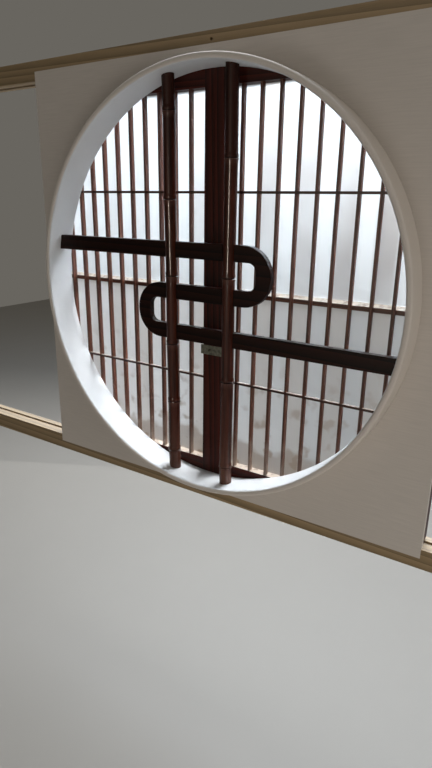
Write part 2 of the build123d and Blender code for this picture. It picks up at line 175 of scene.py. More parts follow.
class SashSettings(bpy.types.PropertyGroup):
    stain: colour("Frame stain", "Red-brown stain on stiles and rails", "#521c11")
    stain_dark: colour("Frame dark", "The same stain where the grain took most of it", "#2a0e09")
    slat: colour("Slat", "Faded stain on the slats", "#714230")
    slat_dark: colour("Slat dark", "The same stain in the dark grain", "#45271c")
    # Dust and worn stain on the ledges, together with a painted highlight of the light that falls
    # on them
    dust_and_highlight: colour("Dust", "Dust and worn stain on the ledges", "#cbbfb0")
    # Pale slat feet: partly bleaching, partly painted light from the bright sill
    bleached_and_lit: colour("Bleached", "Slat ends that sun and damp have bleached", "#9d8d7f")
    pale_foot_height: length("Bleached height", "How far up from the foot the slats are bleached",
        0.085)
    slat_edge: length("Eased edge", "Radius of the slats' eased edges", 0.0006)
    slat_bow: length("Bow", "How far a slat may have bowed sideways", 0.0006)


class BambooSettings(bpy.types.PropertyGroup):
    tint: colour("Bamboo", "Skin of the smoked bamboo", "#4e1f0e")
    dark: colour("Bamboo dark", "Darkest streaks and the grooves at the nodes", "#210c06")
    bloom: colour("Bamboo bloom", "Pale wax left below each node and on the feet", "#8a6252")
    swell: FloatProperty(name="Swell", description="Height of the ridges at the nodes, 1 as cut",
        default=1.3, min=0, max=2, subtype="FACTOR")
    bend: length("Bend", "How far the stalk turns aside at a node", 0.0008)
    fibre: length("Fibre", "Spacing of the long fibres under the skin", 0.0009)
    lap_width: length("Lap width", "Width of the board that each pole is notched over", 0.0336)


class BoardSettings(bpy.types.PropertyGroup):
    tint: colour("Lacquer", "Near-black lacquer on the turned board", "#0f0504")
    worn: colour("Worn", "Brown that shows through along the grain", "#280f08")


class GlassSettings(bpy.types.PropertyGroup):
    tint: colour("Glass", "Tint of the frosted panes", "#f2f8fc")
    # The panes' tint towards the top, greyer than below
    top_grey: colour("Haze", "Tint of the panes' top, under settled dust", "#b4bac0")
    # Painted shade: the grey of the upright bands, as if something stood blurred behind the glass
    painted_band_shade: colour("Band", "Grey of the upright bands seen blurred through the glass", "#b4b3b3")
    stain: colour("Stain", "Brown of the damp stains low on the panes", "#7c6244")
    lower: colour("Lower glass", "Tint of the lower panes at the left", "#eff0f1")
    # Painted shade on the lower panes: greyer to the right, and browner in every other gap
    lower_right_shade: colour("Lower glass, right", "Tint of the lower panes at the right", "#a9adaf")
    gap_shade_brown: colour("Dusty gaps", "Dust on every other gap of the lower panes", "#aa9a88")
    band_lag: length("Band lag", "How far the bands lie to the left of the slats' gaps", 0.008)


class MetalSettings(bpy.types.PropertyGroup):
    lock: colour("Lock", "Tarnished brass of the sash lock", "#7d7d6e")
    lock_dark: colour("Lock dark", "Grey-green tarnish in the hollows", "#565a4e")
    screw: colour("Screw", "Zinc-plated steel", "#a9abad")
    recess_share: FloatProperty(name="Recess", default=0.24, min=0.1, max=0.4, subtype="FACTOR",
        description="Width and depth of the cross recess, as a share of the head's radius")


class StageSettings(bpy.types.PropertyGroup):
    floor: colour("Floor", "Plain pale floor", "#b9b4ab")
    room: colour("Room", "Soft light of the room", "#b5b0a6")
    room_strength: FloatProperty(name="Room light", description="Strength of the room's soft light",
        default=0.3, min=0)
    sky: power("Sky", "Light behind the upper panes", 45)
    yard: power("Yard", "Light behind the lower panes", 5)
    high_sky: power("High sky", "Light from high behind the window", 1500)
    through_light: power("Light through panes", "Sky light that falls on the lining", 130)
    side_lamp: power("Side lamp", "Soft light from the room's right side", 10)
    low_lamp: power("Low lamp", "Soft light that the room's floor throws up", 5.5)
    strip_lamp: power("Strip lamp", "Narrow light that the bamboo mirrors", 14)


# Materials

def new_material(name):
    """A bare Principled material, what adds its nodes, and the Object coordinates."""
    material = bpy.data.materials.new(name)
    material.use_nodes = True
    material.node_tree.nodes.clear()
    node = partial(add, material.node_tree)
    node("ShaderNodeOutputMaterial", {"Surface": node("ShaderNodeBsdfPrincipled")})
    return material, node, node("ShaderNodeTexCoord").outputs["Object"]


def base_colour(material):
    """The socket that gives the material its colour so far."""
    return material.node_tree.nodes["Principled BSDF"].inputs["Base Color"].links[0].from_socket


def surface(material, inputs):
    """Sets or links the material's own sockets, and returns it."""
    tree = material.node_tree
    wire(tree, tree.nodes["Principled BSDF"], inputs)
    return material


def lime_plaster(settings):
    """Lime plaster, troweled smooth: matt white with faint clouds and fine sand."""
    material, node, place = new_material("lime_plaster")
    clouds = node(NOISE, {"Vector": place, "Scale": 1 / settings.cloud, "Detail": 3})
    tint = node(BLEND, {"Factor": clouds, "A": settings.tint, "B": settings.tint * 0.9})
    # The wall's distemper runs over the front edge, where the normal turns to the room
    normal = node("ShaderNodeNewGeometry").outputs["Normal"]
    facing = node(SEPARATE, {"Vector": normal}).outputs["Y"]
    edge = node(RANGE, {"Value": facing, "From Min": -0.45, "From Max": -0.8})
    # A normal that points away from the opening's middle belongs to the side bedded in the wall
    away = node("ShaderNodeVectorMath", {0: place, 1: normal}, operation="DOT_PRODUCT")
    bedded = node(MATH, {0: away, 1: 0.2}, operation="GREATER_THAN")
    outside = node(LARGER, {0: edge, 1: bedded})
    painted = node(BLEND, {"Factor": outside, "A": tint, "B": settings.front})
    # Real sand is half as coarse, and wouldn't show in the render
    sand = node(NOISE, {"Vector": place, "Scale": 1 / settings.grain, "Detail": 2})
    relief = node(BUMP, {"Height": sand, "Strength": 0.25, "Distance": 0.3 * MM})
    return surface(material, {"Base Color": painted, "Normal": relief, "Roughness": 0.85,
        "Specular IOR Level": 0.25})


def wood(name, light, dark, along, fibre_mm, ring_mm, roughness, coat=0.0, specular=0.3):
    """Planed wood. Grain runs along one axis: fine fibres, and growth rings that drift across."""
    material, node, place = new_material(name)
    # Real fibres are several times finer, and wouldn't show in the render
    stretched = []
    for size_mm, stretch in ((fibre_mm, 60), (ring_mm, 45)):
        scale = [per(size_mm)] * 3
        scale["XYZ".index(along)] = per(size_mm * stretch)
        stretched.append(node("ShaderNodeMapping", {"Vector": place, "Scale": scale}))
    fibres = node(NOISE, {"Vector": stretched[0], "Scale": 1.0, "Detail": 4, "Roughness": 0.6})
    rings = node("ShaderNodeTexWave", {"Vector": stretched[1], "Scale": 0.16, "Distortion": 5.0,
        "Detail": 2, "Detail Scale": 0.6}, bands_direction="DIAGONAL", wave_profile="SAW")
    grain = node("ShaderNodeMix", {"Factor": 0.5, "A": fibres, "B": rings.outputs["Fac"]})
    ramp = node(RANGE, {"Value": grain, "From Min": 0.25, "From Max": 0.75})
    tint = node(BLEND, {"Factor": ramp, "A": dark, "B": light})
    relief = node(BUMP, {"Height": fibres, "Strength": 0.35, "Distance": 0.15 * MM})
    shine = node(RANGE, {"Value": fibres, "To Min": roughness - 0.08, "To Max": roughness + 0.1})
    return surface(material, {"Base Color": tint, "Normal": relief, "Roughness": shine,
        "Specular IOR Level": specular, "Coat Weight": coat, "Coat Roughness": 0.3})


def ledge_dust_and_highlight(material, settings, most=0.95):
    """Dust and worn stain on the faces that look up, with a painted highlight of the light that
    falls on these ledges, in patches that hide this share at most.
    """
    node = partial(add, material.node_tree)
    clean = base_colour(material)
    normal = node("ShaderNodeNewGeometry").outputs["True Normal"]
    up = node(SEPARATE, {"Vector": normal}).outputs["Z"]
    # Faces that look up get dust and a painted highlight
    ledge = node(RANGE, {"Value": up, "From Min": 0.5, "From Max": 0.75})
    patches = node(NOISE, {"Vector": node("ShaderNodeTexCoord").outputs["Object"], "Scale": per(12),
        "Detail": 3})
    cover = node(RANGE, {"Value": patches, "From Min": 0.3, "From Max": 0.5, "To Min": 0.5 * most,
        "To Max": most})
    share = node(TIMES, {0: ledge, 1: cover})
    tint = node(BLEND, {"Factor": share, "A": clean, "B": settings.dust_and_highlight})
    return surface(material, {"Base Color": tint})


def faded_slat_wood(settings, foot_z):
    """Stained cedar slats, faded by the sun: grain along Z, paler near the foot, partly bleached
    and partly painted light from the bright sill below.
    """
    material = wood("faded_stained_cedar", settings.slat, settings.slat_dark, "Z", 0.8, 3.0, 0.5)
    node = partial(add, material.node_tree)
    stained = base_colour(material)
    # Each slat took the stain a little differently
    turn = node("ShaderNodeAttribute", attribute_name="slat_share").outputs["Fac"]
    tone = node(RANGE, {"Value": turn, "From Min": -1.0, "To Max": 0.4})
    toned = node(BLEND, {"Factor": tone, "A": stained, "B": settings.slat_dark})
    place = node("ShaderNodeTexCoord").outputs["Object"]
    height = node(SEPARATE, {"Vector": place}).outputs["Z"]
    # Paler near the foot: partly bleached wood, partly painted light that the bright sill and panes
    # throw on the feet
    patches = node(NOISE, {"Vector": place, "Scale": per(24), "Detail": 2})
    ragged = node(TIMES_PLUS, {0: patches, 1: settings.pale_foot_height, 2: height})
    faded = node(RANGE, {"Value": ragged, "From Min": foot_z + settings.pale_foot_height * 0.5,
        "From Max": foot_z + settings.pale_foot_height * 1.6, "To Min": 0.75, "To Max": 0.0})
    tint = node(BLEND, {"Factor": faded, "A": toned, "B": settings.bleached_and_lit})
    return surface(material, {"Base Color": tint})


def distempered_board(settings):
    """Plywood board brushed with distemper: matt, warm grey, faint brush marks."""
    material, node, place = new_material("distempered_plywood")
    brushed = node("ShaderNodeMapping", {"Vector": place, "Scale": (per(60), per(60), per(2.5))})
    marks = node(NOISE, {"Vector": brushed, "Scale": 1.0, "Detail": 3})
    tint = node(BLEND, {"Factor": marks, "A": settings.board, "B": settings.board * 0.82})
    relief = node(BUMP, {"Height": marks, "Strength": 0.3, "Distance": 0.2 * MM})
    return surface(material, {"Base Color": tint, "Normal": relief, "Roughness": 0.8})


def smoked_bamboo(settings, foot_z):
    """Smoked bamboo, waxed: a dark brown glossy skin over long fibres, paler wax at the nodes."""
    material, node, place = new_material("smoked_bamboo")
    split = node(SEPARATE, {"Vector": place}).outputs
    long_fibres = node("ShaderNodeMapping", {"Vector": place, "Scale": (1 / settings.fibre,
        1 / settings.fibre, per(110))})
    fibres = node(NOISE, {"Vector": long_fibres, "Scale": 1.0, "Detail": 3})
    long_streaks = node("ShaderNodeMapping", {"Vector": place, "Scale": (per(9), per(9), per(130))})
    smoke = node(NOISE, {"Vector": long_streaks, "Scale": 1.0, "Detail": 2})
    tone = node("ShaderNodeMix", {"Factor": 0.6, "A": fibres, "B": smoke})
    toned = node(RANGE, {"Value": tone, "From Min": 0.36, "From Max": 0.62})
    # The skin is darker towards the tops
    darker_up = node(RANGE, {"Value": split["Z"], "From Min": 0.1, "From Max": 0.36, "To Min": 1.0,
        "To Max": 0.35})
    paleness = node(TIMES, {0: toned, 1: darker_up})
    skin = node(BLEND, {"Factor": paleness, "A": settings.dark, "B": settings.tint})
    # A dark ring in the groove just above each node
    offset = node("ShaderNodeAttribute", attribute_name="node_offset").outputs["Fac"]
    groove = node(RANGE, {"Value": offset, "From Min": 3.4 * MM, "From Max": 1.2 * MM})
    above = node(MATH, {0: offset, 1: 0.2 * MM}, operation="GREATER_THAN")
    dark_ring = node(TIMES, {0: groove, 1: above})
    ringed = node(BLEND, {"Factor": dark_ring, "A": skin, "B": settings.dark})
    # Pale wax below each node and on the feet
    under = node(RANGE, {"Value": offset, "From Min": -14 * MM, "From Max": -MM, "To Max": 0.35})
    below = node(MATH, {0: offset, 1: 0.0}, operation="LESS_THAN")
    bloom = node(TIMES, {0: under, 1: below})
    foot = node(RANGE, {"Value": split["Z"], "From Min": foot_z, "From Max": foot_z + 0.13,
        "To Min": 0.55, "To Max": 0.0})
    pale = node(LARGER, {0: bloom, 1: foot})
    patchy = node(TIMES, {0: pale, 1: smoke})
    tint = node(BLEND, {"Factor": patchy, "A": ringed, "B": settings.bloom})
    relief = node(BUMP, {"Height": fibres, "Strength": 0.2, "Distance": 0.1 * MM})
    shine = node(RANGE, {"Value": smoke, "To Min": 0.42, "To Max": 0.6})
    # Hands have rubbed the poles bright up to a height that is greater on the right one
    reach = node(TIMES_PLUS, {0: split["X"], 1: -0.507, 2: split["Z"]})
    rubbed = node(RANGE, {"Value": reach, "From Min": 0.222, "From Max": 0.235, "To Min": 0.5,
        "To Max": 0.08})
    return surface(material, {"Base Color": tint, "Normal": relief, "Roughness": shine,
        "Specular IOR Level": 0.15, "Coat Weight": rubbed, "Coat Roughness": 0.09})


def frosted_glass(settings, foot_z, first_gap, pitch):
    """Acid-frosted window glass: rough, bright, with damp stains, and painted shade in upright
    blurred bands.
    """
    material, node, place = new_material("frosted_glass")
    split = node(SEPARATE, {"Vector": place}).outputs
    # Painted shade: grey upright bands in every other gap, as if something upright stood blurred
    # behind the glass, on each side alike
    lagged = node(PLUS, {0: split["X"], 1: settings.band_lag})
    across = node(SIZE_OF, {0: lagged})
    from_gap = node(MINUS, {0: across, 1: first_gap})
    wave = node(TIMES, {0: from_gap, 1: math.pi / pitch})
    crest = node(MATH, {0: wave}, operation="COSINE")
    painted_band_shade = node(RANGE, {"Value": crest, "From Min": -0.5, "From Max": 0.5},
        interpolation_type="SMOOTHSTEP")
    # The painted bands are blotched, stronger to the right and at the top, and faint in the lower
    # panes
    uneven = node(NOISE, {"Vector": place, "Scale": per(190), "Detail": 1})
    blotched = node(RANGE, {"Value": uneven, "From Min": 0.3, "From Max": 0.65, "To Min": 0.35})
    patchy = node(TIMES, {0: painted_band_shade, 1: blotched})
    rightwards = node(RANGE, {"Value": split["X"], "From Min": -0.1, "From Max": 0.3,
        "To Min": 0.35})
    below = node(RANGE, {"Value": split["Z"], "From Min": 4 * MM, "From Max": -4 * MM})
    rising = node(RANGE, {"Value": split["Z"], "From Min": 0.04, "From Max": 0.34, "To Min": 0.85,
        "To Max": 1.9})
    strength = node(TIMES_PLUS, {0: below, 1: -0.75, 2: rising})
    faint = node(TIMES, {0: patchy, 1: strength})
    share = node(TIMES, {0: faint, 1: rightwards})
    # The panes are tinted greyer towards the top, which dims the sky's light there, so the bands
    # still show there
    toward_top = node(RANGE, {"Value": split["Z"], "From Min": 0.1, "From Max": 0.38, "To Max": 0.7})
    upper = node(BLEND, {"Factor": toward_top, "A": settings.tint, "B": settings.top_grey})
    # Painted shade: the lower panes are greyer towards the right, and every other gap there is
    # painted browner, in step with the bands
    greyer = node(RANGE, {"Value": split["X"], "From Min": -0.14, "From Max": 0.3, "To Max": 0.72})
    lower = node(BLEND, {"Factor": greyer, "A": settings.lower, "B": settings.lower_right_shade})
    browner = node(TIMES, {0: painted_band_shade, 1: 0.3})
    gap_shaded = node(BLEND, {"Factor": browner, "A": lower, "B": settings.gap_shade_brown})
    pane = node(BLEND, {"Factor": below, "A": upper, "B": gap_shaded})
    # The bands' painted shade goes over the panes' tint
    banded = node(BLEND, {"Factor": share, "A": pane, "B": settings.painted_band_shade})
    # Damp stains, fewer with the height, over a tide of damp with a ragged upper edge
    blots = node(NOISE, {"Vector": place, "Scale": per(38), "Detail": 2})
    blot = node(RANGE, {"Value": blots, "From Min": 0.56, "From Max": 0.66, "To Max": 0.85})
    low = node(RANGE, {"Value": split["Z"], "From Min": foot_z + 0.33, "From Max": foot_z})
    blotted = node(TIMES, {0: blot, 1: low})
    swell = node(NOISE, {"Vector": place, "Scale": per(70), "Detail": 2})
    tide_top = node(TIMES_PLUS, {0: swell, 1: 0.12, 2: foot_z})
    above = node(MINUS, {0: split["Z"], 1: tide_top})
    tide = node(RANGE, {"Value": above, "From Min": -6 * MM, "From Max": 6 * MM, "To Min": 0.5,
        "To Max": 0.0})
    stained = node(LARGER, {0: blotted, 1: tide})
    tint = node(BLEND, {"Factor": stained, "A": banded, "B": settings.stain})
    # The acid's own pits are far finer, and wouldn't show in the render
    frost = node(NOISE, {"Vector": place, "Scale": per(1.2), "Detail": 1})
    relief = node(BUMP, {"Height": frost, "Strength": 0.04, "Distance": 0.1 * MM})
    return surface(material, {"Base Color": tint, "Normal": relief, "Transmission Weight": 1.0,
        "Roughness": 0.5, "IOR": 1.52})


def tarnished_brass(settings):
    """Cast brass, tarnished grey-green: dull, with more of the metal's colour in patches."""
    material, node, place = new_material("tarnished_brass")
    patina = node(NOISE, {"Vector": place, "Scale": per(6), "Detail": 3})
    ramp = node(RANGE, {"Value": patina, "From Min": 0.35, "From Max": 0.65})
    tint = node(BLEND, {"Factor": ramp, "A": settings.lock_dark, "B": settings.lock})
    relief = node(BUMP, {"Height": patina, "Strength": 0.4, "Distance": 0.15 * MM})
    return surface(material, {"Base Color": tint, "Normal": relief, "Metallic": 0.25,
        "Roughness": 0.5})


def zinc_steel(settings):
    """Zinc-plated steel: bright grey metal with a faint spangle."""
    material, node, place = new_material("zinc_plated_steel")
    spangle = node("ShaderNodeTexVoronoi", {"Vector": place, "Scale": per(1.5)})
    tint = node(BLEND, {"Factor": spangle.outputs["Distance"], "A": settings.screw,
        "B": settings.screw * 0.7})
    return surface(material, {"Base Color": tint, "Metallic": 1.0, "Roughness": 0.38})


def pale_floor(settings):
    """Plain pale floor, matt."""
    material, node, place = new_material("pale_floor")
    mottle = node(NOISE, {"Vector": place, "Scale": per(300), "Detail": 2})
    tint = node(BLEND, {"Factor": mottle, "A": settings.floor, "B": settings.floor * 0.94})
    return surface(material, {"Base Color": tint, "Roughness": 0.7})


def dress(name, material):
    """Gives a CAD node its finish."""
    slots = NODES[name].data.materials
    slots.clear()
    slots.append(material)


# Geometry Nodes

def new_tree(name, inputs):
    """A node tree, what adds its nodes, and its inputs, of which None stands for a material."""
    tree = bpy.data.node_groups.new(name, "GeometryNodeTree")
    for way in ("OUTPUT", "INPUT"):
        tree.interface.new_socket("Geometry", in_out=way, socket_type="NodeSocketGeometry")
    kinds = {int: "NodeSocketInt", float: "NodeSocketFloat", type(None): "NodeSocketMaterial"}
    for label, value in inputs.items():
        tree.interface.new_socket(label, in_out="INPUT",
            socket_type=kinds[type(value)]).default_value = value
    node = partial(add, tree)
    return tree, node, node("NodeGroupInput").outputs


def finish_tree(node, geometry, material):
    whole = node("GeometryNodeRealizeInstances", {"Geometry": geometry})
    finished = node("GeometryNodeSetMaterial", {"Geometry": whole, "Material": material})
    node("NodeGroupOutput", {"Geometry": finished})


def bake(name, tree, values, points=None):
    """Runs a tree with these values, on a mesh of points or on none, and keeps a plain mesh."""
    points = points or bpy.data.meshes.new(name + "_source")
    source = bpy.data.objects.new(name + "_source", points)
    bpy.context.scene.collection.objects.link(source)
    modifier = source.modifiers.new("Shape", "NODES")
    modifier.node_group = tree
    for item in tree.interface.items_tree:
        if item.in_out == "INPUT" and item.name in values:
            modifier[item.identifier] = values[item.name]
    depsgraph = bpy.context.evaluated_depsgraph_get()
    mesh = bpy.data.meshes.new_from_object(source.evaluated_get(depsgraph),
        preserve_all_data_layers=True, depsgraph=depsgraph)
    bpy.data.objects.remove(source)
    if not mesh.polygons:
        raise RuntimeError(f"the tree for {name} made nothing")
    mesh.shade_smooth()
    mesh.set_sharp_from_angle(angle=math.radians(35))
    piece = bpy.data.objects.new(name, mesh)
    bpy.context.scene.collection.objects.link(piece)
    return piece


def stand_in(piece, body, slot, *nodes):
    """A made piece rides with its body and takes the place of CAD nodes, which it hides."""
    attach(piece, body)
    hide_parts(*nodes)


def curve_points(node, points, handle):
    """Sets a Float Curve node's points, both ways from 0 to 1."""
    line = node.mapping.curves[0]
    while len(line.points) < len(points):
        line.points.new(0.5, 0.5)
    for point, place in zip(line.points, points):
        point.location = place
        point.handle_type = handle
    node.mapping.update()


def slat_tree():
    """A row of upright slats with eased edges, each bowed a little, notched for two tie bars."""
    tree, node, entry = new_tree("slats", {"Count": 10, "First X": 0.061, "Pitch": 0.0403,
        "Width": 0.005, "Depth": 0.012, "Front Y": 0.016, "Foot Z": -0.4, "Top Z": 0.4,
        "Eased Edge": 0.0006, "Bow": 0.0006, "Notch Depth": 0.007, "Notch Height": 0.005,
        "Upper Notch Z": 0.2, "Lower Notch Z": -0.195, "Seed": 1, "Material": None})
    foot = node(COMBINE, {"Z": entry["Foot Z"]})
    top = node(COMBINE, {"Z": entry["Top Z"]})
    line = node("GeometryNodeCurvePrimitiveLine", {"Start": foot, "End": top})
    steps = node("GeometryNodeResampleCurve", {"Curve": line, "Count": 26})
    section = node("GeometryNodeCurvePrimitiveQuadrilateral", {"Width": entry["Width"],
        "Height": entry["Depth"]})
    eased = node("GeometryNodeFilletCurve", {"Curve": section, "Count": 2,
        "Radius": entry["Eased Edge"], "Limit Radius": True}, mode="POLY")
    slat = node("GeometryNodeCurveToMesh", {"Curve": steps, "Profile Curve": eased,
        "Fill Caps": True})

    middle_y = node(TIMES_PLUS, {0: entry["Depth"], 1: 0.5, 2: entry["Front Y"]})
    first = node(COMBINE, {"X": entry["First X"], "Y": middle_y})
    step = node(COMBINE, {"X": entry["Pitch"]})
    places = node("GeometryNodeMeshLine", {"Count": entry["Count"], "Start Location": first,
        "Offset": step})
    row = node("GeometryNodeInstanceOnPoints", {"Points": places, "Instance": slat})
    chance = node("FunctionNodeRandomValue", {"Min": -1.0, "Max": 1.0, "Seed": entry["Seed"]})
    marked = node("GeometryNodeStoreNamedAttribute", {"Geometry": row, "Name": "slat_share",
        "Value": chance}, domain="INSTANCE")
    whole = node("GeometryNodeRealizeInstances", {"Geometry": marked})

    # A slat bows as half a sine from its foot to its top, by its own share of the most
    height = node(SEPARATE, {"Vector": node("GeometryNodeInputPosition")}).outputs["Z"]
    along = node(RANGE, {"Value": height, "From Min": entry["Foot Z"], "From Max": entry["Top Z"],
        "To Max": math.pi})
    arch = node(MATH, {0: along}, operation="SINE")
    most = node(TIMES, {0: arch, 1: entry["Bow"]})
    share = node("GeometryNodeInputNamedAttribute", {"Name": "slat_share"})
    aside = node(TIMES, {0: most, 1: share})
    shift = node(COMBINE, {"X": aside})
    cut = node("GeometryNodeSetPosition", {"Geometry": whole, "Offset": shift})

    # One bar, longer than the row, cuts the notches of all the slats at a height
    past = node(PLUS, {0: entry["Count"], 1: 1.0})
    span = node(TIMES, {0: entry["Pitch"], 1: past})
    size = node(COMBINE, {"X": node(SIZE_OF, {0: span}),
        "Y": node(TIMES, {0: entry["Notch Depth"], 1: 2.0}), "Z": entry["Notch Height"]})
    bar = node("GeometryNodeMeshCube", {"Size": size})
    gaps = node(MINUS, {0: entry["Count"], 1: 1.0})
    half_pitch = node(TIMES, {0: entry["Pitch"], 1: 0.5})
    middle_x = node(TIMES_PLUS, {0: gaps, 1: half_pitch, 2: entry["First X"]})
    for notch in ("Upper Notch Z", "Lower Notch Z"):
        spot = node(COMBINE, {"X": middle_x, "Y": entry["Front Y"], "Z": entry[notch]})
        placed = node("GeometryNodeTransform", {"Geometry": bar, "Translation": spot})
        cut = node(CUT_AWAY, {"Mesh 1": cut, "Mesh 2": placed})
    finish_tree(node, cut, entry["Material"])
    return tree


def screw_tree():
    """Countersunk screws with a cross recess, one on each point, driven along its direction."""
    tree, node, entry = new_tree("screws", {"Head Radius": 0.0036, "Shank Radius": 0.0018,
        "Length": 0.022, "Recess Width": 0.0008, "Recess Depth": 0.0012, "Seed": 1,
        "Material": None})
    head, shank = entry["Head Radius"], entry["Shank Radius"]
    # Rings at heights 0 to 3 are moved to the head's face, its neck, the tip's base and the tip
    line = node("GeometryNodeCurvePrimitiveLine", {"End": (0, 0, 3)})
    rings = node("GeometryNodeResampleCurve", {"Curve": line, "Count": 4})
    circle = node("GeometryNodeCurvePrimitiveCircle", {"Resolution": 20, "Radius": 1.0})
    tube = node("GeometryNodeCurveToMesh", {"Curve": rings, "Profile Curve": circle,
        "Fill Caps": True})
    place = node(SEPARATE, {"Vector": node("GeometryNodeInputPosition")}).outputs
    # How much of the neck, of the shank and of the tip a ring has behind it, from 0 to 1
    neck, plain, tip = (node(RANGE, {"Value": place["Z"], "From Min": start,
        "From Max": start + 1}) for start in (0.0, 1.0, 2.0))
    taper = node(MINUS, {0: shank, 1: head})
    necked = node(TIMES_PLUS, {0: taper, 1: neck, 2: head})
    point = node(TIMES, {0: shank, 1: -0.96})
    radius = node(TIMES_PLUS, {0: point, 1: tip, 2: necked})
    neck_height = node(TIMES, {0: shank, 1: neck})
    shank_length = node(TIMES_PLUS, {0: shank, 1: -3.0, 2: entry["Length"]})
    tip_base = node(TIMES_PLUS, {0: shank_length, 1: plain, 2: neck_height})
    tip_length = node(TIMES, {0: shank, 1: 2.0})
    height = node(TIMES_PLUS, {0: tip_length, 1: tip, 2: tip_base})
    moved = node(COMBINE, {"X": node(TIMES, {0: place["X"], 1: radius}),
        "Y": node(TIMES, {0: place["Y"], 1: radius}), "Z": height})
    cut = node("GeometryNodeSetPosition", {"Geometry": tube, "Position": moved})

    # Two crossed bars, centred on the head's face, cut the recess
    reach = node(TIMES, {0: head, 1: 1.1})
    deep = node(TIMES, {0: entry["Recess Depth"], 1: 2.0})
    for x, y in ((reach, entry["Recess Width"]), (entry["Recess Width"], reach)):
        size = node(COMBINE, {"X": x, "Y": y, "Z": deep})
        bar = node("GeometryNodeMeshCube", {"Size": size})
        cut = node(CUT_AWAY, {"Mesh 1": cut, "Mesh 2": bar})

    direction = node("GeometryNodeInputNamedAttribute", {"Name": "direction"},
        data_type="FLOAT_VECTOR")
    driven = node("FunctionNodeAlignRotationToVector", {"Vector": direction}, axis="Z")
    chance = node("FunctionNodeRandomValue", {"Min": 0.0, "Max": math.pi, "Seed": entry["Seed"]})
    spun = node("FunctionNodeAxisAngleToRotation", {"Axis": (0, 0, 1), "Angle": chance})
    turned = node("FunctionNodeRotateRotation", {"Rotation": driven, "Rotate By": spun},
        rotation_space="LOCAL")
    set_out = node("GeometryNodeInstanceOnPoints", {"Points": entry["Geometry"], "Instance": cut,
        "Rotation": turned})
    finish_tree(node, set_out, entry["Material"])
    return tree


def screw_places(name):
    """The head's place, the direction, the length and the head's radius of each screw in a node."""
    form = bmesh.new()
    form.from_mesh(NODES[name].data)
    bmesh.ops.remove_doubles(form, verts=form.verts, dist=0.01 * MM)
    # A dict keeps its order, so the screws come in the same order on each run
    waiting = dict.fromkeys(form.verts)
    screws = []
    while waiting:
        found = [waiting.popitem()[0]]
        for vert in found:
            for edge in vert.link_edges:
                other = edge.other_vert(vert)
                if other in waiting:
                    del waiting[other]
                    found.append(other)
        spots = [vert.co.copy() for vert in found]
        low, high = (Vector([pick(line) for line in zip(*spots)]) for pick in (min, max))
        middle = (low + high) / 2
        # A screw lies along its longest axis, with its widest ring at the head
        along = max(range(3), key=lambda axis: high[axis] - low[axis])
        half = (high[along] - low[along]) / 2
        others = [axis for axis in range(3) if axis != along]
        rim = max(spots, key=lambda spot: sum((spot[axis] - middle[axis]) ** 2 for axis in others))
        direction = Vector((0, 0, 0))
        direction[along] = -1 if rim[along] > middle[along] else 1
        radius = (high[others[0]] - low[others[0]]) / 2
        screws.append((middle - direction * half, direction, 2 * half, radius))
    form.free()
    return screws


